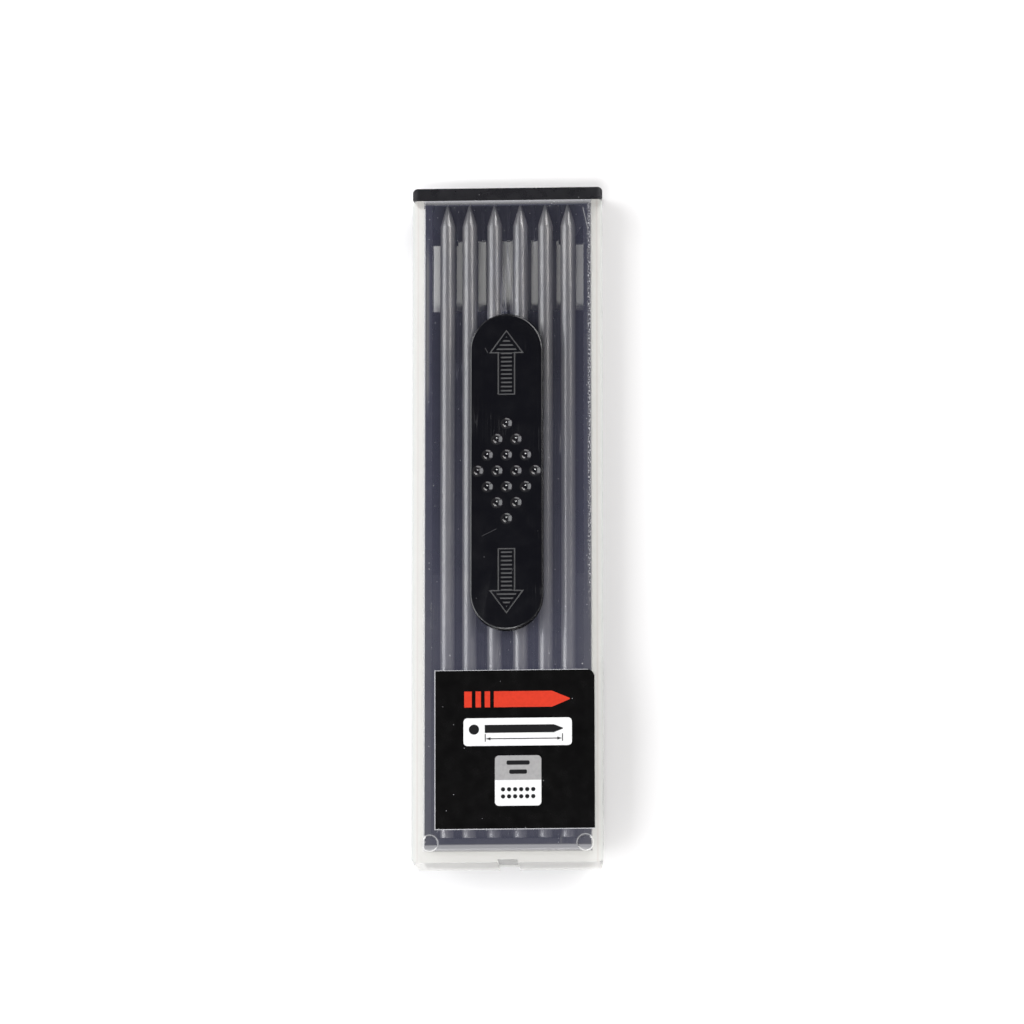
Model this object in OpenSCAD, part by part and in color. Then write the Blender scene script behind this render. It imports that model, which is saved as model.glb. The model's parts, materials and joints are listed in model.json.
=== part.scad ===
// Sliding case for twelve drafting leads, lying on its back.
// +X across the case, +Y towards the cap, +Z out of the front face, all in millimetres.
// Inside the clear case a black carriage holds six leads on each side of a thin web.
// The thumb slider reaches the carriage through a slot in the case's front wall.

/* [Leads] */
// Diameter of one lead
lead_d = 2.8; // [2.0:0.1:2.8]
// Length of one lead with its point
lead_l = 120; // [110:1:120]
// Length of the sharpened point
lead_point_l = 4.2; // [2:0.1:6]
// Distance between neighbouring channels
channel_pitch = 4.72; // [4.6:0.02:4.74]

/* [Case] */
// Width of the front face
case_w = 35.5; // [35:0.1:38]
// How far each side wall leans in between the front and the back
case_draft = 0.8; // [0:0.1:1.0]
// Length of the clear case without the cap
case_l = 125.2; // [125:0.1:130]
// Thickness of the case from back to front
case_t = 10; // [10:0.1:11]
// Thickness of the front wall
front_wall = 1.4; // [1.0:0.1:1.4]
// Thickness of the back wall
back_wall = 1.15; // [1.0:0.05:1.2]
// Thickness of the closed end
end_wall = 2.2; // [1.5:0.1:2.4]
// Radius of the corners seen from the front
case_corner_r = 0.9; // [0.3:0.1:1.2]

/* [Cap] */
// Height of the cap above the case's mouth
cap_h = 2.3; // [1.6:0.1:3]
// Radius of the cap's outer corners
cap_corner_r = 0.9; // [0.4:0.1:1.2]
// Length of the cap's two tongues
tongue_l = 4.2; // [3:0.1:5]

/* [Carriage] */
// Thickness of the web between the front and the back row
web_t = 1.1; // [0.9:0.1:1.2]
// Width of the carriage over its rails
carriage_w = 30.9; // [30.8:0.1:31]
// Width of the rail along each side
rail_w = 1.3; // [1.2:0.05:1.35]
// Height of the low ribs between the channels
rib_h = 0.7; // [0.4:0.1:1.2]
// Width of the low ribs between the channels
rib_w = 0.6; // [0.4:0.1:0.9]
// Height of the window through the web
window_l = 13.5; // [8:0.1:16]
// How much lower the window's outer channels start
window_step = 0.75; // [0:0.05:2]
// Width of the window through the web
window_w = 28.2; // [20:0.1:28.2]

/* [Slider] */
// Length of the thumb slider
slider_l = 59.8; // [56:0.1:62]
// Width of the thumb slider
slider_w = 13.6; // [11:0.1:15]
// Thickness of the slider's thumb plate
slider_t = 1.8; // [1.4:0.1:2.4]
// Distance from the case's mouth to the slider's middle
slider_from_mouth = 52.05; // [50:0.05:60]
// How far the slider lifts the carriage out of the case
slider_travel = 21; // [10:1:21]
// Radius of the rounded edge around the thumb plate
slider_edge_r = 0.35; // [0.2:0.05:0.6]
// Diameter of one grip dimple
dimple_d = 2.15; // [1.6:0.05:2.4]
// Depth of one grip dimple
dimple_depth = 0.45; // [0.2:0.05:0.6]

/* [Label] */
// Width of the label
label_w = 29.5; // [24:0.1:30]
// Length of the label
label_l = 29.6; // [24:0.1:30]
// Thickness of the label
label_t = 0.1; // [0.06:0.01:0.2]
// Radius of the label's one rounded corner
label_corner_r = 1.3; // [0.5:0.1:3]

/* [Hidden] */
$fn = 48;
row_names = ["front", "back"];
leads_per_row = 6;

// Gaps between pieces
seam = 0.05;            // cap to case mouth, at rest
slide_gap = 0.2;        // carriage to the case's side walls
lead_gap = 0.1;         // lead to web, and lead to channel floor
lead_to_case = 0.3;     // lead to the case's front and back walls
slider_gap = 0.1;       // thumb plate to the case's front face

// Along the case
overall_l = case_l + seam + cap_h;
end_y = -overall_l / 2;
mouth_y = end_y + case_l;
cap_y = mouth_y + seam;
cavity_end_y = end_y + end_wall;
carriage_end_y = cavity_end_y + 0.6;
carriage_top_y = mouth_y - 0.15;
end_bar_l = 1.85;
lead_end_y = carriage_end_y + end_bar_l + lead_gap;
window_top_y = mouth_y - 7.1;
window_end_y = window_top_y - window_l;

// Through the case, from the back up
web_z = back_wall + lead_to_case + lead_d + lead_gap;
web_top_z = web_z + web_t;
back_lead_z = web_z - lead_gap - lead_d / 2;
front_lead_z = web_top_z + lead_gap + lead_d / 2;
cavity_top_z = case_t - front_wall;
rail_low_z = back_wall + lead_to_case;
rail_top_z = cavity_top_z - lead_to_case;
cavity_half_w = carriage_w / 2 + slide_gap;

// Slot in the front wall and the neck that runs in it
neck_play = 0.5;        // neck to the slot's ends
slot_w = 1.8;
neck_w = 1.2;
neck_l = 15;
slider_y = mouth_y - slider_from_mouth;
plate_shift_x = -0.1;   // the thumb plate sits a little to the left of the neck
slot_low_y = slider_y - neck_l / 2 - neck_play;
slot_high_y = slider_y + neck_l / 2 + slider_travel + neck_play;

// Marks of the mould on the case
pin_mark_d = 3.2;
pin_mark_depth = 0.3;
pin_mark_x = 14.45;
pin_mark_from_end = 3.6;
gate_notch_w = 3.8;
gate_notch_depth = 0.55;

// Grip dimples lie in a diamond of rows with one to four dimples
dimple_rows = [1, 2, 3, 4, 3, 2, 1];
dimple_pitch_x = 3.56;
dimple_pitch_y = 3.0;
dimple_ball_r = (dimple_d * dimple_d / 4 + dimple_depth * dimple_depth) / (2 * dimple_depth);

// Moulded arrows near both ends of the thumb plate
arrow_l = 12.4;
arrow_head_l = 4.5;
arrow_head_w = 6.6;
arrow_shaft_w = 3.3;
arrow_line = 0.27;
arrow_depth = 0.12;
hatch_pitch = 0.79;
hatch_line = 0.34;
hatch_inset = 0.6;
arrow_tip_from_end = 3.0;

// Label on the front face
label_x = 1.4;
label_from_mouth = 104.1;
label_tilt = 0.1;

// How far each lead has rolled from the middle of its channel, from -X to +X
front_lead_shift = [0.5, -0.1, -0.15, -0.05, -0.1, -0.6];
back_lead_shift = [0.6, -0.05, -0.5, 0.45, 0.45, -0.6];

// Solid with the section given in X and Z, from y0 to y1
module along_y(y0, y1) {
    translate([0, y1, 0]) rotate([90, 0, 0]) linear_extrude(y1 - y0) children();
}

// Section of the case and the cap: the back is narrower than the front
module outer_section() {
    front_x = case_w / 2;
    back_x = front_x - case_draft;
    polygon([[-back_x, 0], [back_x, 0], [front_x, case_t], [-front_x, case_t]]);
}

// Rectangle about the Y axis with rounded corners at both ends
module rounded_sheet(y0, y1, low_r, high_r) {
    half_w = case_w / 2;
    union() {
        translate([-half_w, y0 + low_r]) square([case_w, y1 - y0 - low_r - high_r]);
        translate([-half_w + low_r, y0]) square([case_w - 2 * low_r, low_r + 0.1]);
        translate([-half_w + high_r, y1 - high_r - 0.1]) square([case_w - 2 * high_r, high_r + 0.1]);
        for (side = [-1, 1]) {
            translate([side * (half_w - low_r), y0 + low_r]) circle(low_r);
            translate([side * (half_w - high_r), y1 - high_r]) circle(high_r);
        }
    }
}

// Stadium along Y, centred on the origin
module stadium(w, l) {
    union() {
        square([w, l - w], center = true);
        for (end = [-1, 1]) translate([0, end * (l - w) / 2]) circle(w / 2);
    }
}

// Solid block with the outer shape of the case or the cap
module outer_block(y0, y1, low_r, high_r) {
    intersection() {
        along_y(y0, y1) outer_section();
        linear_extrude(case_t) rounded_sheet(y0, y1, low_r, high_r);
    }
}

module case() {
    color([0.86, 0.87, 0.84, 0.45]) difference() {
        outer_block(end_y, mouth_y, case_corner_r, case_corner_r);
        translate([-cavity_half_w, cavity_end_y, back_wall])
            cube([2 * cavity_half_w, case_l, cavity_top_z - back_wall]);
        translate([0, (slot_low_y + slot_high_y) / 2, cavity_top_z - 1])
            linear_extrude(front_wall + 2) stadium(slot_w, slot_high_y - slot_low_y);
        for (side = [-1, 1])
            translate([side * pin_mark_x, end_y + pin_mark_from_end, case_t - pin_mark_depth])
                cylinder(d1 = pin_mark_d - 2 * pin_mark_depth, d2 = pin_mark_d + 2 * pin_mark_depth,
                         h = 2 * pin_mark_depth);
        translate([-gate_notch_w / 2, end_y - 1, -1])
            cube([gate_notch_w, 1 + gate_notch_depth, case_t + 2]);
    }
}

// The tongues run in notches in the outer faces of the carriage's rails
tongue_t = 0.6;
tongue_w = 3.2;
tongue_z = (rail_low_z + rail_top_z) / 2;
tongue_gap = 0.08;

module cap() {
    color([0.18, 0.18, 0.19]) union() {
        outer_block(cap_y, cap_y + cap_h, 0.2, cap_corner_r);
        for (side = [-1, 1])
            translate([side * (carriage_w - tongue_t) / 2, cap_y - tongue_l / 2 + 0.1, tongue_z])
                cube([tongue_t, tongue_l + 0.2, tongue_w], center = true);
    }
}

// Channel centres run from -X to +X
function channel_x(i) = (i - (leads_per_row + 1) / 2) * channel_pitch;

module rib(i, y0, y1) {
    translate([channel_x(i) + channel_pitch / 2 - rib_w / 2, y0, web_z - rib_h])
        cube([rib_w, y1 - y0, web_t + 2 * rib_h]);
}

module carriage() {
    notch_t = tongue_t + tongue_gap;
    notch_w = tongue_w + 2 * tongue_gap;
    color([0.10, 0.10, 0.12]) difference() {
        union() {
            // Web
            translate([-carriage_w / 2, carriage_end_y, web_z])
                cube([carriage_w, carriage_top_y - carriage_end_y, web_t]);
            // Rails along both sides
            for (side = [-1, 1])
                translate([side * (carriage_w - rail_w) / 2 - rail_w / 2, carriage_end_y, rail_low_z])
                    cube([rail_w, carriage_top_y - carriage_end_y, rail_top_z - rail_low_z]);
            // Bar that the leads stand on
            translate([-carriage_w / 2, carriage_end_y, rail_low_z])
                cube([carriage_w, end_bar_l, rail_top_z - rail_low_z]);
            // Low ribs between the channels, interrupted by the window
            for (i = [1 : leads_per_row - 1]) {
                rib(i, carriage_end_y, window_end_y);
                rib(i, window_top_y, carriage_top_y);
            }
        }
        // Window through the web, a little lower over the two outer channels
        for (size = [[window_w, window_l - window_step], [4 * channel_pitch, window_l]])
            translate([-size[0] / 2, window_end_y, rail_low_z])
                cube([size[0], size[1], rail_top_z]);
        // Notches for the cap's tongues, open at the top end
        for (side = [-1, 1])
            translate([side * (carriage_w / 2 - notch_t / 2 + 0.5), carriage_top_y - tongue_l / 2, tongue_z])
                cube([notch_t + 1, tongue_l + 0.4, notch_w], center = true);
        // Socket that the slider's neck snaps into
        translate([0, slider_y, web_z + web_t / 2])
            cube([neck_w + 0.02, neck_l + 0.02, web_t + 2 * rib_h + 1], center = true);
    }
}

module arrow_shape(grow) {
    shaft_l = arrow_l - arrow_head_l;
    polygon([
        [0, arrow_l + 1.5 * grow],
        [-arrow_head_w / 2 - 2 * grow, shaft_l - grow], [-arrow_shaft_w / 2 - grow, shaft_l - grow],
        [-arrow_shaft_w / 2 - grow, -grow], [arrow_shaft_w / 2 + grow, -grow],
        [arrow_shaft_w / 2 + grow, shaft_l - grow], [arrow_head_w / 2 + 2 * grow, shaft_l - grow]
    ]);
}

// Where the cross lines of an arrow lie, clear of its outline
module hatch_area() {
    shaft_l = arrow_l - arrow_head_l;
    union() {
        translate([0, shaft_l / 2]) square([arrow_shaft_w - 2 * hatch_inset, shaft_l], center = true);
        polygon([[0, arrow_l - 2 * hatch_inset],
                 [-arrow_head_w / 2 + 1.5 * hatch_inset, shaft_l], [arrow_head_w / 2 - 1.5 * hatch_inset, shaft_l]]);
    }
}

// Engraved outline of an arrow along +Y with short cross lines inside
module arrow_lines() {
    difference() {
        arrow_shape(0);
        arrow_shape(-arrow_line);
    }
    intersection() {
        hatch_area();
        for (y = [hatch_pitch : hatch_pitch : arrow_l - 1.5 * hatch_inset])
            translate([0, y]) square([arrow_head_w, hatch_line], center = true);
    }
}

module dimples() {
    row_count = len(dimple_rows);
    for (row = [0 : row_count - 1])
        for (k = [0 : dimple_rows[row] - 1])
            translate([(k - (dimple_rows[row] - 1) / 2) * dimple_pitch_x,
                       ((row_count - 1) / 2 - row) * dimple_pitch_y,
                       slider_t + dimple_ball_r - dimple_depth])
                sphere(dimple_ball_r);
}

// Half section of the thumb plate with its rounded upper edge, from the axis outwards
module plate_section() {
    r = slider_w / 2;
    union() {
        square([r, slider_t - slider_edge_r]);
        square([r - slider_edge_r, slider_t]);
        translate([r - slider_edge_r, slider_t - slider_edge_r]) circle(slider_edge_r);
    }
}

module plate() {
    straight_l = slider_l - slider_w;
    union() {
        along_y(-straight_l / 2, straight_l / 2) {
            plate_section();
            mirror([1, 0]) plate_section();
        }
        for (end = [-1, 1]) translate([0, end * straight_l / 2, 0])
            rotate_extrude() plate_section();
    }
}

module slider() {
    plate_z = case_t + slider_gap;
    color([0.06, 0.06, 0.08]) union() {
        translate([plate_shift_x, slider_y, plate_z]) difference() {
            plate();
            dimples();
            for (end = [0, 1]) mirror([0, end, 0])
                translate([0, slider_l / 2 - arrow_tip_from_end - arrow_l, slider_t - arrow_depth])
                    linear_extrude(1) arrow_lines();
        }
        translate([-neck_w / 2, slider_y - neck_l / 2, web_z])
            cube([neck_w, neck_l, plate_z - web_z + 0.5]);
    }
}

module label() {
    color([0.05, 0.05, 0.06])
        translate([label_x, mouth_y - label_from_mouth, case_t]) rotate([0, 0, label_tilt])
            linear_extrude(label_t) difference() {
                square([label_w, label_l], center = true);
                translate([label_w / 2 - label_corner_r, label_l / 2 - label_corner_r])
                    difference() {
                        square(label_corner_r + 1);
                        circle(label_corner_r);
                    }
            }
}

// One lead: a straight rod with a slim point towards the cap
module lead(x, z) {
    r = lead_d / 2;
    tip_r = 0.25;
    color([0.33, 0.33, 0.35])
        translate([x, lead_end_y, z])
            rotate([-90, 0, 0])
                rotate_extrude()
                    polygon([[0, 0], [r, 0], [r, lead_l - lead_point_l], [tip_r, lead_l], [0, lead_l]]);
}

case();
cap();
carriage();
slider();
label();
for (i = [1 : leads_per_row]) {
    lead(channel_x(i) + front_lead_shift[i - 1], front_lead_z);
    lead(channel_x(i) + back_lead_shift[i - 1], back_lead_z);
}
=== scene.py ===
"""A sliding case for drafting leads: clear case, black cap, slider, carriage and label, twelve leads."""

import json
import math

import bmesh
import bpy
from mathutils import Matrix, Vector


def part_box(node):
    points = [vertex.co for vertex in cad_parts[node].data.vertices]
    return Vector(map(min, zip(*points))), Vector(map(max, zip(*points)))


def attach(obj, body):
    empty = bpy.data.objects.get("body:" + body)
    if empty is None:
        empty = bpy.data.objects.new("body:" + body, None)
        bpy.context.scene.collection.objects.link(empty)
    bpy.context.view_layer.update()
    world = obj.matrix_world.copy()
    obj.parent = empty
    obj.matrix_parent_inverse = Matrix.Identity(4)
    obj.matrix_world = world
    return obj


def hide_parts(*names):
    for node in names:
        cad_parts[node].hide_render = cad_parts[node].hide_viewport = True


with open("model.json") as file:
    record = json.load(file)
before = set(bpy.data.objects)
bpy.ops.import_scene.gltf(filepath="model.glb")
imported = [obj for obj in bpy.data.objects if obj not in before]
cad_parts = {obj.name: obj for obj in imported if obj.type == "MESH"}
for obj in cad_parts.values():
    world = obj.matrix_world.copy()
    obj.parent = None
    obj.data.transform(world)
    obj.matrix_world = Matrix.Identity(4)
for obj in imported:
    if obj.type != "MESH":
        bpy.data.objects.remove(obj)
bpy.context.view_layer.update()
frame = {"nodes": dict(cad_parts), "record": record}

MM = 0.001
NODES = frame["nodes"]
SLOT_OF = {row["node"]: row["material_slot"] for row in frame["record"]["subparts"]}

CASE_LOW, CASE_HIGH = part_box("case")
CAVITY_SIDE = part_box("carriage")[1].x  # the carriage fills the cavity's width

# The two round marks that the mould's pins leave on the case's front face, shown by a painted highlight on
# their rims
PIN_X = 14.45 * MM
PIN_FROM_END = 3.6 * MM
PIN_RADIUS = 1.6 * MM

# How white each milky place, each mark and each place of painted light or painted highlight on the clear
# case is, from 0 to 1
WHITENESS = {
    "thick wall": 0.5,
    "mouth rim light": 0.42,
    "end gap light": 0.3,
    "end face": 0.42,
    "pin rim glint": 0.34,
    "right edge": 0.42,
    "left edge": 0.14,
    "rubbed path": 0.19,
    "scratch glint": 0.3,
    "scratches": 0.14,
    "dust": 0.4,
}
DUST_GREY = (0.25, 0.25, 0.26)
# The paler black of the painted highlight on the cap's side edges
GLINT_BLACK = (0.055, 0.054, 0.058)


# ---------------------------------------------------------------- shader nodes

class Shader:
    """A new material, with short calls for the nodes that it needs."""

    def __init__(self, name):
        self.material = bpy.data.materials.new(name)
        self.material.use_nodes = True
        self.tree = self.material.node_tree
        self.tree.nodes.clear()
        self.place = self.node("ShaderNodeTexCoord").outputs["Object"]

    def node(self, kind, settings=None, **inputs):
        """A new node. Its inputs are named with _ for a space, and a socket given as a value is linked."""
        made = self.tree.nodes.new(kind)
        for key, value in (settings or {}).items():
            setattr(made, key, value)
        for key, value in inputs.items():
            self.put(made.inputs[key.replace("_", " ")], value)
        return made

    def put(self, socket, value):
        if isinstance(value, bpy.types.NodeSocket):
            self.tree.links.new(value, socket)
        else:
            socket.default_value = value

    def maths(self, operation, a, b=0.0, clamp=False):
        made = self.node("ShaderNodeMath", {"operation": operation, "use_clamp": clamp})
        self.put(made.inputs[0], a)
        self.put(made.inputs[1], b)
        return made.outputs[0]

    def axis(self, which):
        """The X, Y or Z of a point in metres, in the object's own frame."""
        return self.node("ShaderNodeSeparateXYZ", Vector=self.place).outputs[which]

    def stretched(self, x, y, z, tilt=0.0):
        """The place scaled along each axis, after a turn about Z in degrees."""
        turn = (0, 0, math.radians(tilt))
        made = self.node("ShaderNodeMapping", Vector=self.place, Scale=(x, y, z), Rotation=turn)
        return made.outputs[0]

    def noise(self, scale, detail=3.0, place=None, roughness=0.5):
        made = self.node("ShaderNodeTexNoise", Vector=place or self.place, Scale=scale, Detail=detail,
                         Roughness=roughness)
        return made.outputs["Fac"]

    def ramp(self, value, low, high, to_low=0.0, to_high=1.0):
        """value moved from low..high to to_low..to_high, and held there."""
        made = self.node("ShaderNodeMapRange", {"clamp": True}, Value=value)
        for socket, number in zip(list(made.inputs)[1:5], (low, high, to_low, to_high)):
            self.put(socket, number)
        return made.outputs["Result"]

    def specks(self, scale, size, share, seed=0.0):
        """1 on small round dots, and 0 between them.

        scale is cells to the metre, size a dot's radius as a share of a cell, share how many of the
        cells hold a dot, and seed moves the pattern.
        """
        shift = (seed, seed * 0.7, seed * 0.3)
        moved = self.node("ShaderNodeMapping", Vector=self.place, Location=shift).outputs[0]
        cells = self.node("ShaderNodeTexVoronoi", Vector=moved, Scale=scale)
        near = self.ramp(cells.outputs["Distance"], size, size * 0.6)
        draw = self.node("ShaderNodeSeparateColor", Color=cells.outputs["Color"]).outputs[0]
        return self.maths("MULTIPLY", near, self.ramp(draw, share, share - 0.001))

    def scratches(self, scale, tilt, share):
        """1 on thin broken lines that run along Y, turned by tilt degrees. share sets their width."""
        wobble = self.noise(1.0, 2.0, self.stretched(scale, scale * 0.03, scale, tilt))
        lines = self.band(wobble, 0.5, share)
        patches = self.ramp(self.noise(90.0, 2.0), 0.56, 0.66)
        return self.product(lines, patches)

    def mark(self, start, end, width):
        """1 on one thin straight mark between two points, given in X and Y."""
        start, end = Vector((*start, 0)), Vector((*end, 0))
        way = (end - start).normalized()
        across = Vector((-way.y, way.x, 0))
        offset = self.node("ShaderNodeVectorMath", {"operation": "SUBTRACT"})
        self.put(offset.inputs[0], self.place)
        self.put(offset.inputs[1], start)
        run = self.dot(offset.outputs[0], way)
        aside = self.dot(offset.outputs[0], across)
        half = (end - start).length / 2
        return self.product(self.band(aside, 0.0, width), self.band(run, half, half, 0.8))

    def dot(self, a, b):
        made = self.node("ShaderNodeVectorMath", {"operation": "DOT_PRODUCT"})
        self.put(made.inputs[0], a)
        self.put(made.inputs[1], b)
        return made.outputs["Value"]

    def band(self, value, middle, reach, core=0.0):
        """1 at middle, falling to 0 at reach from it. core is the share of the reach that stays at 1."""
        away = self.maths("ABSOLUTE", self.maths("SUBTRACT", value, middle))
        return self.ramp(away, reach, reach * core)

    def product(self, *values):
        return self.fold("MULTIPLY", values)

    def most(self, *values):
        return self.fold("MAXIMUM", values)

    def fold(self, operation, values):
        total = values[0]
        for value in values[1:]:
            total = self.maths(operation, total, value)
        return total

    def facing(self):
        """How squarely the surface faces the front or the back, from 0 to 1."""
        normal = self.node("ShaderNodeNewGeometry").outputs["True Normal"]
        return self.maths("ABSOLUTE", self.node("ShaderNodeSeparateXYZ", Vector=normal).outputs["Z"])

    def bump(self, height, distance, strength=1.0):
        made = self.node("ShaderNodeBump", Height=height, Distance=distance, Strength=strength)
        return made.outputs[0]

    def colour(self, factor, low, high):
        """A mix of two colours. Each is three numbers or a socket."""
        made = self.node("ShaderNodeMix", {"data_type": "RGBA"})
        self.put(made.inputs["Factor"], factor)
        for socket, value in ((made.inputs[6], low), (made.inputs[7], high)):
            self.put(socket, value if isinstance(value, bpy.types.NodeSocket) else (*value, 1.0))
        return made.outputs[2]

    def blend(self, factor, a, b):
        made = self.node("ShaderNodeMixShader")
        self.put(made.inputs[0], factor)
        self.put(made.inputs[1], a)
        self.put(made.inputs[2], b)
        return made.outputs[0]

    def finish(self, shader):
        output = self.node("ShaderNodeOutputMaterial")
        self.tree.links.new(shader, output.inputs["Surface"])
        return self.material


# ---------------------------------------------------------------- materials

def moulded_black(name, low, high, roughness, grain, specks=0.0, specular=0.5, glint_from=None):
    """Black moulded plastic with slightly uneven gloss, a fine grain and a little dust.

    The last argument sets how far from the middle, along X, the sides start to show a painted highlight:
    patchy paler black that stands in for the glint of the rounded side edges.
    """
    s = Shader(name)
    dust = s.specks(1500.0, size=0.17, share=specks, seed=0.3)
    clean = s.colour(s.ramp(s.noise(160.0, 4.0), 0.35, 0.7), low, high)
    base = s.colour(dust, clean, DUST_GREY)
    # Painted highlight: paler patches on the sides stand in for the glint of the rounded side edges
    if glint_from:
        side = s.ramp(s.maths("ABSOLUTE", s.axis("X")), glint_from, glint_from + 0.9 * MM)
        patches = s.noise(1.0, 2.0, s.stretched(5000.0, 900.0, 900.0))
        side_glint = s.product(side, s.ramp(patches, 0.35, 0.6, 0.35, 1.0))
        base = s.colour(side_glint, base, GLINT_BLACK)
    rough = s.ramp(s.noise(420.0, 3.0), 0.3, 0.7, roughness * 0.85, roughness * 1.2)
    skin = s.bump(s.noise(9000.0, 2.0), 0.02 * MM, grain)
    shader = s.node("ShaderNodeBsdfPrincipled", Base_Color=base, Roughness=rough, Normal=skin,
                    Specular_IOR_Level=specular)
    return s.finish(shader.outputs[0])


def slider_black(name):
    """Smooth black plastic, dull on its upright sides as painted shade for the dark line where the slider
    meets the case. The arrows' grooves are greyer than the face.
    """
    s = Shader(name)
    low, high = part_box("slider")
    middle = (low + high) / 2
    groove_depth = 0.12 * MM
    groove_floor = s.band(s.axis("Z"), high.z - groove_depth, 0.04 * MM, 0.7)
    groove = s.product(groove_floor, s.ramp(s.facing(), 0.995, 0.999))

    def nick(start, end, width):
        """A short scratch. Its ends and width are in millimetres, from the slider's middle."""
        ends = [(middle.x + x * MM, middle.y + y * MM) for x, y in (start, end)]
        return s.mark(*ends, width * MM)

    nicks = s.most(nick((-4.7, -12.3), (-1.7, -10.8), 0.09), nick((0.6, -19.6), (1.4, -18.2), 0.08),
                   nick((-4.0, 23.5), (-3.4, 22.4), 0.12))
    scuff = s.product(s.scratches(1500.0, tilt=62.0, share=0.012), 0.3)
    dust = s.product(s.specks(700.0, size=0.10, share=0.05, seed=0.9), 0.6)
    tint = s.most(s.product(groove, 0.55), scuff, dust, s.product(nicks, 0.7))
    base = s.colour(tint, (0.0035, 0.0036, 0.0055), (0.075, 0.075, 0.078))
    patchy = s.ramp(s.noise(300.0, 3.0), 0.4, 0.9, 0.0, 0.25)
    rough = s.ramp(s.most(groove, patchy), 0.0, 1.0, 0.15, 0.55)
    skin = s.bump(s.noise(1200.0, 2.0), 0.01 * MM, 0.25)
    # Painted shade: the upright sides reflect little, so that they show as a dark line where the slider
    # meets the case
    shine = s.ramp(s.facing(), 0.02, 0.3, 0.02, 0.75)
    shader = s.node("ShaderNodeBsdfPrincipled", Base_Color=base, Roughness=rough, Normal=skin,
                    Specular_IOR_Level=shine)
    return s.finish(shader.outputs[0])


def graphite(name):
    """Burnished graphite: grey with a low metallic shine and faint streaks along the rod."""
    s = Shader(name)
    grain = s.noise(1.0, 2.0, s.stretched(7000.0, 60.0, 7000.0))
    patches = s.noise(150.0, 2.0)
    base = s.colour(s.ramp(patches, 0.35, 0.7), (0.168, 0.167, 0.176), (0.195, 0.191, 0.195))
    rough = s.ramp(grain, 0.3, 0.7, 0.29, 0.31)
    skin = s.bump(s.noise(9000.0, 2.0), 0.003 * MM, 0.15)
    shader = s.node("ShaderNodeBsdfPrincipled", Base_Color=base, Roughness=rough, Normal=skin,
                    Metallic=0.5)
    return s.finish(shader.outputs[0])


def clear_plastic(name):
    """Clear polystyrene: glass under a white film, hazy on thin walls and milky on thick ones, with worn
    places, dust, painted light at the mouth and over the gap at the closed end, and painted highlights on
    a scratch and on the pin marks.
    """
    s = Shader(name)
    x, y = s.axis("X"), s.axis("Y")
    sideways = s.maths("ABSOLUTE", x)
    front = s.ramp(s.facing(), 0.3, 0.8, 0.4, 1.0)
    in_side_wall = s.ramp(sideways, CAVITY_SIDE + 0.05 * MM, CAVITY_SIDE + 0.3 * MM)
    in_end_wall = s.ramp(y, CASE_LOW.y + 2.4 * MM, CASE_LOW.y + 2.0 * MM)
    wall = s.most(in_side_wall, in_end_wall)

    soft = s.most(thin_wall_haze(s, sideways, y), milky_walls_and_painted_light(s, y, wall, front), case_wear_and_glint(s, x, y),
                  case_dust(s))
    # Painted highlight on the rims of the pin marks
    rings = s.product(pin_rim_glints(s, sideways, y), WHITENESS["pin rim glint"])
    # The haze also carries painted light and painted highlights: at the mouth, over the gap at the closed
    # end, on a scratch and on the pin marks
    haze_and_painted_light = s.maths("MAXIMUM", soft, rings, clamp=True)

    glass = s.node("ShaderNodeBsdfGlass", Color=(0.985, 0.985, 0.975, 1.0), Roughness=0.015, IOR=1.49)
    film = s.node("ShaderNodeBsdfDiffuse", Color=wall_colour(s, sideways, wall, haze_and_painted_light, front))
    body = s.blend(haze_and_painted_light, glass.outputs[0], film.outputs[0])

    # Shadow, diffuse and glossy rays go straight through, so that light reaches the pieces inside
    clear = s.node("ShaderNodeBsdfTransparent", Color=(0.96, 0.96, 0.955, 1.0))
    path = s.node("ShaderNodeLightPath")
    straight = s.most(*[path.outputs[f"Is {kind} Ray"] for kind in ("Shadow", "Diffuse", "Glossy")])
    return s.finish(s.blend(straight, body, clear.outputs[0]))


def thin_wall_haze(s, sideways, y):
    """Haze of the thin front and back walls, denser towards the sides and the closed end."""
    cloud = s.ramp(s.noise(60.0, 4.0), 0.3, 0.75, 0.018, 0.030)
    towards_end = s.ramp(y, CASE_HIGH.y - 30 * MM, CASE_LOW.y + 25 * MM, 0.0, 0.042)
    towards_side = s.ramp(sideways, CAVITY_SIDE - 4 * MM, CAVITY_SIDE, 0.0, 0.032)
    return s.maths("ADD", cloud, s.maths("ADD", towards_end, towards_side))


def milky_walls_and_painted_light(s, y, wall, front):
    """The white of the thick walls and the closed end's own face, with painted light: a painted highlight
    that fades down from the mouth's rim, and a pale band of painted light over the dark gap before the
    closed end.
    """
    # Painted light: a pale band over the dark gap between the carriage's end and the closed end's wall
    end_gap_light = s.ramp(y, CASE_LOW.y + 3.5 * MM, CASE_LOW.y + 3.2 * MM, 0.0, WHITENESS["end gap light"])
    # Painted highlight: whiter towards the mouth, for the light that the mouth's edge catches
    rim = s.ramp(y, CASE_HIGH.y - 1.5 * MM, CASE_HIGH.y)
    end_face = s.ramp(y, CASE_LOW.y + 0.1 * MM, CASE_LOW.y + 0.02 * MM, 0.0, WHITENESS["end face"])
    from_front = s.most(s.product(wall, WHITENESS["thick wall"]),
                        s.product(rim, rim, WHITENESS["mouth rim light"]), end_gap_light)
    return s.most(s.product(from_front, front), end_face)


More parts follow.
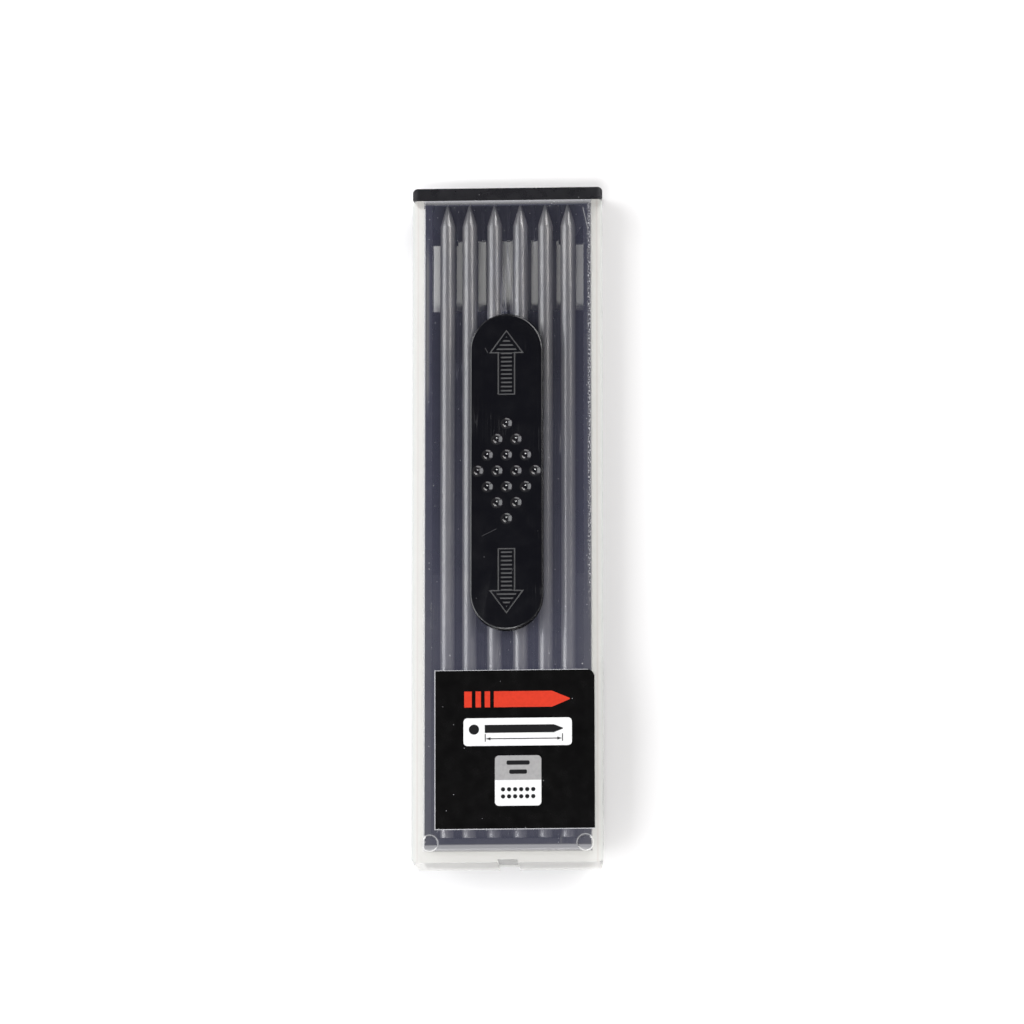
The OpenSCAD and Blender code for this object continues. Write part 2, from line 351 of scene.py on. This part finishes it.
def case_wear_and_glint(s, x, y):
    """Wear on the right inner edge, a pale streak inside the left edge, the path that the slider rubs,
    scratches, and a scratch near a corner painted bright as its glint, a painted highlight.
    """
    grip_low, grip_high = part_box("slider")
    flecks = s.ramp(s.noise(1.0, 3.0, s.stretched(5200.0, 2400.0, 900.0)), 0.45, 0.62)
    right_edge = s.product(s.band(x, CAVITY_SIDE - 0.15 * MM, 0.55 * MM, 0.3), flecks,
                           s.ramp(y, CASE_LOW.y + 40 * MM, CASE_LOW.y + 55 * MM))
    left_edge = s.product(s.band(x, -CAVITY_SIDE + 0.5 * MM, 0.9 * MM),
                          s.band(y, CASE_HIGH.y - 24 * MM, 23 * MM, 0.5))
    streaks = s.ramp(s.noise(1.0, 3.0, s.stretched(3200.0, 110.0, 900.0)), 0.46, 0.66)
    rubbed = s.product(s.band(x, (grip_low.x + grip_high.x) / 2, 4.5 * MM), streaks,
                       s.band(y, grip_high.y + 4 * MM, 11 * MM, 0.5))
    # Painted highlight: a thin bright line for the glint of a scratch near the mouth's right corner
    scratch_glint = s.mark((CAVITY_SIDE - 1.4 * MM, CASE_HIGH.y - 1.2 * MM),
                         (CAVITY_SIDE - 0.3 * MM, CASE_HIGH.y - 6.2 * MM), 0.14 * MM)
    scratches = s.most(s.scratches(1300.0, tilt=28.0, share=0.010),
                       s.scratches(1100.0, tilt=-52.0, share=0.008))
    marks = {"right edge": right_edge, "left edge": left_edge, "rubbed path": rubbed,
             "scratch glint": scratch_glint, "scratches": scratches}
    return s.most(*[s.product(mark, WHITENESS[place]) for place, mark in marks.items()])


def case_dust(s):
    """Coarse and fine grains of dust."""
    coarse = s.specks(650.0, size=0.11, share=0.09)
    fine = s.specks(1700.0, size=0.13, share=0.05, seed=0.5)
    return s.product(s.most(coarse, fine), WHITENESS["dust"])


def pin_rim_glints(s, sideways, y):
    """1 on a thin ring at the rim of each of the two round pin marks near the closed end: a painted
    highlight for the light that the rims catch.
    """
    dx = s.maths("SUBTRACT", sideways, PIN_X)
    dy = s.maths("SUBTRACT", y, CASE_LOW.y + PIN_FROM_END)
    away = s.maths("SQRT", s.maths("ADD", s.product(dx, dx), s.product(dy, dy)))
    return s.band(away, PIN_RADIUS, 0.22 * MM, 0.2)


def wall_colour(s, sideways, wall, haze_and_painted_light, front):
    """Cool in thin walls, white where they are hazier (worn, dusty, or carrying painted light and painted
    highlights), and ivory with a faint pink line in thick ones.
    """
    side = CASE_HIGH.x
    ivory = s.colour(s.noise(120.0, 3.0), (0.61, 0.60, 0.57), (0.65, 0.64, 0.61))
    lined = s.colour(s.band(sideways, side - 1.05 * MM, 0.3 * MM), ivory, (0.57, 0.53, 0.50))
    at_side = s.ramp(sideways, side - 0.6 * MM, side - 0.2 * MM)
    edged = s.colour(at_side, lined, (0.56, 0.59, 0.57))
    thin = s.colour(s.ramp(haze_and_painted_light, 0.06, 0.12), (0.62, 0.64, 0.94), (0.78, 0.78, 0.82))
    return s.colour(front, (0.88, 0.87, 0.85), s.colour(wall, thin, edged))


def printed_ink(name, colour, roughness=0.35):
    """Ink on the label's film, with a faint mottle."""
    s = Shader(name)
    worn = tuple(0.85 * c for c in colour)
    base = s.colour(s.ramp(s.noise(1500.0, 3.0), 0.35, 0.8), colour, worn)
    shader = s.node("ShaderNodeBsdfPrincipled", Base_Color=base, Roughness=roughness,
                    Specular_IOR_Level=0.3)
    return s.finish(shader.outputs[0])


def floor_paint():
    """White card, slightly uneven and without any shine."""
    s = Shader("floor_paint")
    base = s.colour(s.noise(3.0, 2.0), (0.90, 0.895, 0.895), (0.92, 0.915, 0.915))
    shader = s.node("ShaderNodeBsdfPrincipled", Base_Color=base, Roughness=0.9, Specular_IOR_Level=0.0)
    return s.finish(shader.outputs[0])


FINISH = {
    "clear_plastic": clear_plastic("clear_plastic"),
    # The cap's sides carry a painted highlight: paler patches for the glint of its rounded side edges
    "cap_plastic": moulded_black(
        "cap_plastic", (0.009, 0.009, 0.011), (0.012, 0.0115, 0.014), roughness=0.28, grain=0.3,
        specks=0.04, specular=0.4, glint_from=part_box("cap")[1].x - 1.1 * MM),
    "carriage_plastic": moulded_black(
        "carriage_plastic", (0.006, 0.006, 0.009), (0.009, 0.009, 0.012), roughness=0.3, grain=0.3,
        specks=0.06, specular=0.35),
    "slider_plastic": slider_black("slider_plastic"),
    "label_film": moulded_black(
        "label_film", (0.0022, 0.0021, 0.0022), (0.0030, 0.0028, 0.0029), roughness=0.24, grain=0.15,
        specks=0.025, specular=0.2),
    "graphite": graphite("graphite"),
}
RED = printed_ink("red_ink", (0.60, 0.036, 0.014))
WHITE = printed_ink("white_ink", (0.80, 0.80, 0.80))
GREY = printed_ink("grey_ink", (0.34, 0.335, 0.335))
BLACK = printed_ink("black_ink", (0.005, 0.005, 0.006))
FILM = printed_ink("film_edge", (0.50, 0.50, 0.52), 0.25)


# ---------------------------------------------------------------- meshes

SHARP_DEGREES = 35  # an edge that turns by more than this is shown sharp, and can be rounded


def add_piece(name, mesh, body, material):
    """A new object with its finish, riding on a body."""
    piece = bpy.data.objects.new(name, mesh)
    bpy.context.scene.collection.objects.link(piece)
    mesh.materials.clear()
    mesh.materials.append(material)
    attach(piece, body)
    return piece


def smooth(mesh, sharp_degrees):
    """Smooth shading, but for the edges that turn by more than sharp_degrees."""
    mesh.shade_smooth()
    mesh.set_sharp_from_angle(angle=math.radians(sharp_degrees))


def softened(node, body, edge_mm=0.0, segments=3, merge_flats=True):
    """A copy of a CAD node, shown in its place, with its sharp edges rounded where edge_mm isn't 0."""
    work = bmesh.new()
    work.from_mesh(NODES[node].data)
    bmesh.ops.remove_doubles(work, verts=work.verts, dist=0.0005 * MM)
    if merge_flats:
        flat = math.radians(0.5)
        bmesh.ops.dissolve_limit(work, angle_limit=flat, verts=work.verts, edges=work.edges)
    mesh = bpy.data.meshes.new(f"{node}_moulding")
    work.to_mesh(mesh)
    work.free()
    for attribute in list(mesh.attributes):
        if attribute.name == "custom_normal":
            mesh.attributes.remove(attribute)
    slot = SLOT_OF[node]
    piece = add_piece(mesh.name, mesh, body, FINISH[slot])
    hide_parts(node)
    smooth(mesh, SHARP_DEGREES)
    if edge_mm:
        bevel = piece.modifiers.new("edges", "BEVEL")
        bevel.width = edge_mm * MM
        bevel.segments = segments
        bevel.limit_method = "ANGLE"
        bevel.angle_limit = math.radians(SHARP_DEGREES)
        bevel.harden_normals = True


def lathe(name, profile, centre, sides=64):
    """A closed mesh turned about a line along Y through centre.

    profile lists (y, radius), and both of its ends lie on the line.
    """
    work = bmesh.new()
    turns = [2 * math.pi * k / sides for k in range(sides)]
    rings = []
    for y, radius in profile:
        spokes = [(radius * math.cos(a), radius * math.sin(a)) for a in turns] if radius else [(0, 0)]
        rings.append([work.verts.new(centre + Vector((x, y, z))) for x, z in spokes])
    for low, high in zip(rings, rings[1:]):
        for k in range(sides):
            n = k + 1
            corners = [low[k % len(low)], low[n % len(low)], high[n % len(high)], high[k % len(high)]]
            work.faces.new(list(dict.fromkeys(corners)))
    bmesh.ops.recalc_face_normals(work, faces=work.faces)
    mesh = bpy.data.meshes.new(name)
    work.to_mesh(mesh)
    work.free()
    return mesh


def arc(centre, radius, start, stop, steps=8):
    """Points on an arc, in degrees."""
    turns = [math.radians(start + (stop - start) * k / steps) for k in range(steps + 1)]
    return [(centre[0] + radius * math.cos(a), centre[1] + radius * math.sin(a)) for a in turns]


def rounded_outline(centre, size, radius, corners=(True, True, True, True)):
    """A rectangle's outline from its +X +Y corner on, with the chosen corners rounded."""
    (cx, cy), (w, l) = centre, size
    points = []
    for k, (sx, sy) in enumerate(((1, 1), (-1, 1), (-1, -1), (1, -1))):
        r = radius if corners[k] else 0.0
        middle = (cx + sx * (w / 2 - r), cy + sy * (l / 2 - r))
        points += arc(middle, r, 90 * k, 90 * (k + 1)) if r else [middle]
    return points


# ---------------------------------------------------------------- case, cap, carriage and slider

softened("case", "case", 0.22)
softened("cap", "cap", 0.3, segments=4)
# Merged flats would cover the carriage's narrow windows
softened("carriage", "carriage", 0.08, segments=2, merge_flats=False)
softened("slider", "carriage")


# ---------------------------------------------------------------- leads

LEADS_IN_ROW = 6
LEAD_POINT = 4.2 * MM
LEAD_SHARP_DEGREES = 30


def lead_mesh(name, node):
    """A rod with a worn lower edge, a soft shoulder and a slim, blunt point, in the CAD node's box."""
    low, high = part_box(node)
    radius = (high.x - low.x) / 2
    length = high.y - low.y
    worn_edge = 0.15 * MM
    profile = [(0.0, 0.0), (0.0, radius - worn_edge), (worn_edge, radius), (length * 0.33, radius),
               (length * 0.66, radius)]
    for share in (0.0, 0.04, 0.09, 0.15, 0.3, 0.5, 0.7, 0.85):
        straight = radius * (1 - share * 0.86)
        bulge = 0.05 * MM * math.sin(math.pi * min(share * 1.6, 1.0)) * (1 - share)
        profile.append((length - LEAD_POINT * (1 - share), straight + bulge))
    profile += [(length - 0.12 * MM, 0.24 * MM), (length - 0.03 * MM, 0.15 * MM), (length, 0.0)]
    centre = Vector(((low.x + high.x) / 2, low.y, (low.z + high.z) / 2))
    return lathe(name, profile, centre)


for row in ("front", "back"):
    for number in range(1, LEADS_IN_ROW + 1):
        node = f"lead_{row}_{number}"
        mesh = lead_mesh(f"{node}_rod", node)
        piece = add_piece(mesh.name, mesh, "carriage", FINISH["graphite"])
        smooth(mesh, LEAD_SHARP_DEGREES)
        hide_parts(node)


# ---------------------------------------------------------------- label

softened("label", "case")

LABEL_TILT = math.radians(0.1)
INK = 0.012 * MM
FILM_EDGE = 0.04 * MM
label_low, label_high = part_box("label")
label_middle = (label_low + label_high) / 2


def print_on_label(name, outlines, material, layer=1, base=label_high.z, thickness=INK):
    """Thin slabs of ink on the label. Outlines are in millimetres from the label's middle.

    Layer 1 lies on base and layer 2 on layer 1.
    """
    work = bmesh.new()
    floor = base + (layer - 1) * INK
    for outline in outlines:
        under, over = [[work.verts.new((x * MM, y * MM, floor + z)) for x, y in outline]
                       for z in (0.0, thickness)]
        work.faces.new(over)
        work.faces.new(under[::-1])
        for k in range(len(outline)):
            n = (k + 1) % len(outline)
            work.faces.new((under[k], under[n], over[n], over[k]))
    bmesh.ops.recalc_face_normals(work, faces=work.faces)
    mesh = bpy.data.meshes.new(name)
    work.to_mesh(mesh)
    work.free()
    to_label = Matrix.Translation((label_middle.x, label_middle.y, 0))
    mesh.transform(to_label @ Matrix.Rotation(LABEL_TILT, 4, "Z"))
    add_piece(name, mesh, "case", material)


def bar(x0, x1, y0, y1):
    """A rectangle's outline."""
    return [(x0, y0), (x1, y0), (x1, y1), (x0, y1)]


def film_margin(size, margin=0.15, corner=1.2):
    """The clear film that shows as a thin pale line around the printed face, except on its right.

    The line above the face stops short of the label's rounded corner.
    """
    half_w = size.x / 2 / MM
    half_l = size.y / 2 / MM
    sides = [
        bar(-half_w - margin, -half_w, -half_l - margin, half_l + margin),
        bar(-half_w, half_w, -half_l - margin, -half_l),
        bar(-half_w, half_w - corner, half_l, half_l + margin * 0.7),
    ]
    print_on_label("label_film_margin", sides, FILM, base=label_low.z, thickness=FILM_EDGE)


def lead_picture(x0, x1, y, height, point):
    """The outline of a lead that points to +X, with a blunt tip."""
    half = height / 2
    shoulder = x1 - point
    tip, half_tip = x1 - 0.12, 0.1
    return [(x0, y - half), (shoulder, y - half), (tip, y - half_tip), (tip, y + half_tip),
            (shoulder, y + half), (x0, y + half)]


def dart(x, y, way, size=0.55):
    """The head of an arrow whose tip is at x, y and points to +X or, with way -1, to -X."""
    back = x - way * size * 1.6
    return [(x, y), (back, y - size / 2), (back, y + size / 2)]


def dot(x, y, radius, steps):
    """A circle's outline."""
    return arc((x, y), radius, 0, 360, steps)[:-1]


film_margin(label_high - label_low)

# A red bar in the shape of a lead, with three stripes behind it
RED_Y, RED_HEIGHT = 9.4, 3.0
stripes = [bar(x0, x1, RED_Y - RED_HEIGHT / 2, RED_Y + RED_HEIGHT / 2)
           for x0, x1 in ((-5.6, -4.6), (-7.3, -6.3), (-9.4, -8.0))]
print_on_label("label_red_lead", [lead_picture(-3.9, 10.3, RED_Y, RED_HEIGHT, 3.4), *stripes], RED)

# A wide white panel, and a badge that is grey above its split and white below
PANEL_MIDDLE, PANEL_SIZE = (0.5, 3.27), (20.1, 5.2)
BADGE_X, BADGE_Y, BADGE_WIDTH, BADGE_LENGTH = 0.57, -5.87, 8.6, 9.4
CORNER = 0.75
SPLIT_ABOVE_MIDDLE = 0.12
badge_split = BADGE_Y + SPLIT_ABOVE_MIDDLE
grey_length = BADGE_LENGTH / 2 - SPLIT_ABOVE_MIDDLE
white_length = BADGE_LENGTH / 2 + SPLIT_ABOVE_MIDDLE
grey_y = badge_split + grey_length / 2
white_y = badge_split - white_length / 2
print_on_label("label_white_panel", [rounded_outline(PANEL_MIDDLE, PANEL_SIZE, CORNER)], WHITE)
print_on_label("label_grey_badge", [
    rounded_outline((BADGE_X, grey_y), (BADGE_WIDTH, grey_length), CORNER, (True, True, False, False)),
], GREY)
print_on_label("label_white_badge", [
    rounded_outline((BADGE_X, white_y), (BADGE_WIDTH, white_length), CORNER, (False, False, True, True)),
], WHITE)

# A lead over a dimension line with two end lines stands for the size. A dot stands for its section
DIMENSION_Y, LINE = 2.0, 0.18
DRAWN_FROM, DRAWN_TO = -5.6, 8.9
print_on_label("label_panel_drawing", [
    dot(-7.6, 3.75, 0.95, 32),
    lead_picture(DRAWN_FROM, 9.0, 3.85, 1.5, 1.8),
    bar(DRAWN_FROM, DRAWN_FROM + LINE, 1.45, 2.9),
    bar(DRAWN_TO - LINE, DRAWN_TO, 1.45, 2.9),
    bar(-5.0, 8.3, DIMENSION_Y - LINE / 2, DIMENSION_Y + LINE / 2),
    dart(DRAWN_FROM + LINE, DIMENSION_Y, -1),
    dart(DRAWN_TO - LINE, DIMENSION_Y, 1),
], BLACK, layer=2)

# Two bars stand for words, and twelve dots for the number of leads
print_on_label("label_badge_swatches", [
    rounded_outline((BADGE_X, grey_y + 0.95), (4.3, 0.8), 0.3),
    rounded_outline((BADGE_X, grey_y - 0.75), (3.3, 0.8), 0.3),
], BLACK, layer=2)
DOT_PITCH, DOT_ROW_GAP, DOT_RADIUS = 1.12, 1.32, 0.4
print_on_label("label_badge_dots", [
    dot(BADGE_X + (column - (LEADS_IN_ROW - 1) / 2) * DOT_PITCH, white_y + side * DOT_ROW_GAP / 2,
        DOT_RADIUS, 20)
    for side in (-1, 1) for column in range(LEADS_IN_ROW)
], BLACK, layer=2)


# ---------------------------------------------------------------- floor, light and camera

def make_floor():
    """A white sheet, set a hair below the case so that the two faces don't meet."""
    mesh = bpy.data.meshes.new("floor")
    half, gap = 4.0, 0.02 * MM
    corners = [(-half, -half, 0), (half, -half, 0), (half, half, 0), (-half, half, 0)]
    mesh.from_pydata(corners, [], [(0, 1, 2, 3)])
    floor = bpy.data.objects.new("floor", mesh)
    bpy.context.scene.collection.objects.link(floor)
    floor.location.z = -gap
    mesh.materials.append(floor_paint())


def make_world():
    """A dim white room that fades to near black straight above, where the camera stands."""
    world = bpy.data.worlds.new("room")
    bpy.context.scene.world = world
    world.use_nodes = True
    tree = world.node_tree
    background = tree.nodes["Background"]
    direction = tree.nodes.new("ShaderNodeTexCoord").outputs["Generated"]
    split = tree.nodes.new("ShaderNodeSeparateXYZ")
    tree.links.new(direction, split.inputs[0])
    fade = tree.nodes.new("ShaderNodeMapRange")
    tree.links.new(split.outputs["Z"], fade.inputs["Value"])
    fade_from, fade_to = 0.55, 0.9
    room_strength, overhead_strength = 0.28, 0.02
    numbers = (fade_from, fade_to, room_strength, overhead_strength)
    for socket, number in zip(list(fade.inputs)[1:5], numbers):
        socket.default_value = number
    tree.links.new(fade.outputs["Result"], background.inputs["Strength"])
    background.inputs["Color"].default_value = (1.0, 0.99, 1.0, 1.0)


def softbox(name, direction, distance, size, power, colour=(1.0, 1.0, 1.0)):
    """An area light in a direction from the floor's middle, which it faces. Metres and watts."""
    lamp = bpy.data.lights.new(name, "AREA")
    lamp.shape = "RECTANGLE"
    lamp.size, lamp.size_y = size
    lamp.energy = power
    lamp.color = colour
    holder = bpy.data.objects.new(name, lamp)
    bpy.context.scene.collection.objects.link(holder)
    towards = Vector(direction).normalized()
    holder.location = towards * distance
    holder.rotation_euler = towards.to_track_quat("Z", "Y").to_euler()


def make_camera():
    """A long lens above the case, standing a little towards its closed end and its right side."""
    lens_data = bpy.data.cameras.new("camera")
    camera = bpy.data.objects.new("camera", lens_data)
    bpy.context.scene.collection.objects.link(camera)
    distance, frame_width = 1.6, 190.4 * MM
    lens_data.sensor_width = 36.0
    lens_data.lens = lens_data.sensor_width * distance / frame_width
    lens_data.clip_start, lens_data.clip_end = 0.1, 20.0
    aim = Vector((0.84 * MM, 2.0 * MM, 10.0 * MM))
    to_right, to_closed_end = math.radians(3.2), math.radians(10.75)
    back = Vector((math.sin(to_right), -math.sin(to_closed_end), 0.0))
    back.z = math.sqrt(1 - back.length_squared)
    right = Vector((0, 1, 0)).cross(back).normalized()
    up = back.cross(right)
    turn = Matrix((right, up, back)).transposed().to_4x4()
    camera.matrix_world = Matrix.Translation(aim + back * distance) @ turn
    bpy.context.scene.camera = camera


make_floor()
make_world()
# name, direction, distance, size, power, colour
softbox("key_left", (-0.80, 0.04, 0.55), 1.4, (1.8, 1.3), 24.0, (0.97, 0.98, 1.0))
softbox("fill_right", (0.466, 0.40, 0.575), 0.84, (0.5, 0.22), 1.75, (1.0, 0.97, 0.95))
softbox("top_light", (-0.02, -0.32, 0.947), 1.4, (0.4, 0.2), 6.8)
softbox("head_light", (0.25, 0.66, 0.70), 0.55, (0.2, 0.2), 0.75)
softbox("foot_light", (-0.25, -0.85, 0.38), 1.4, (1.5, 0.5), 7.0)
make_camera()
bpy.context.scene.view_settings.view_transform = "Standard"
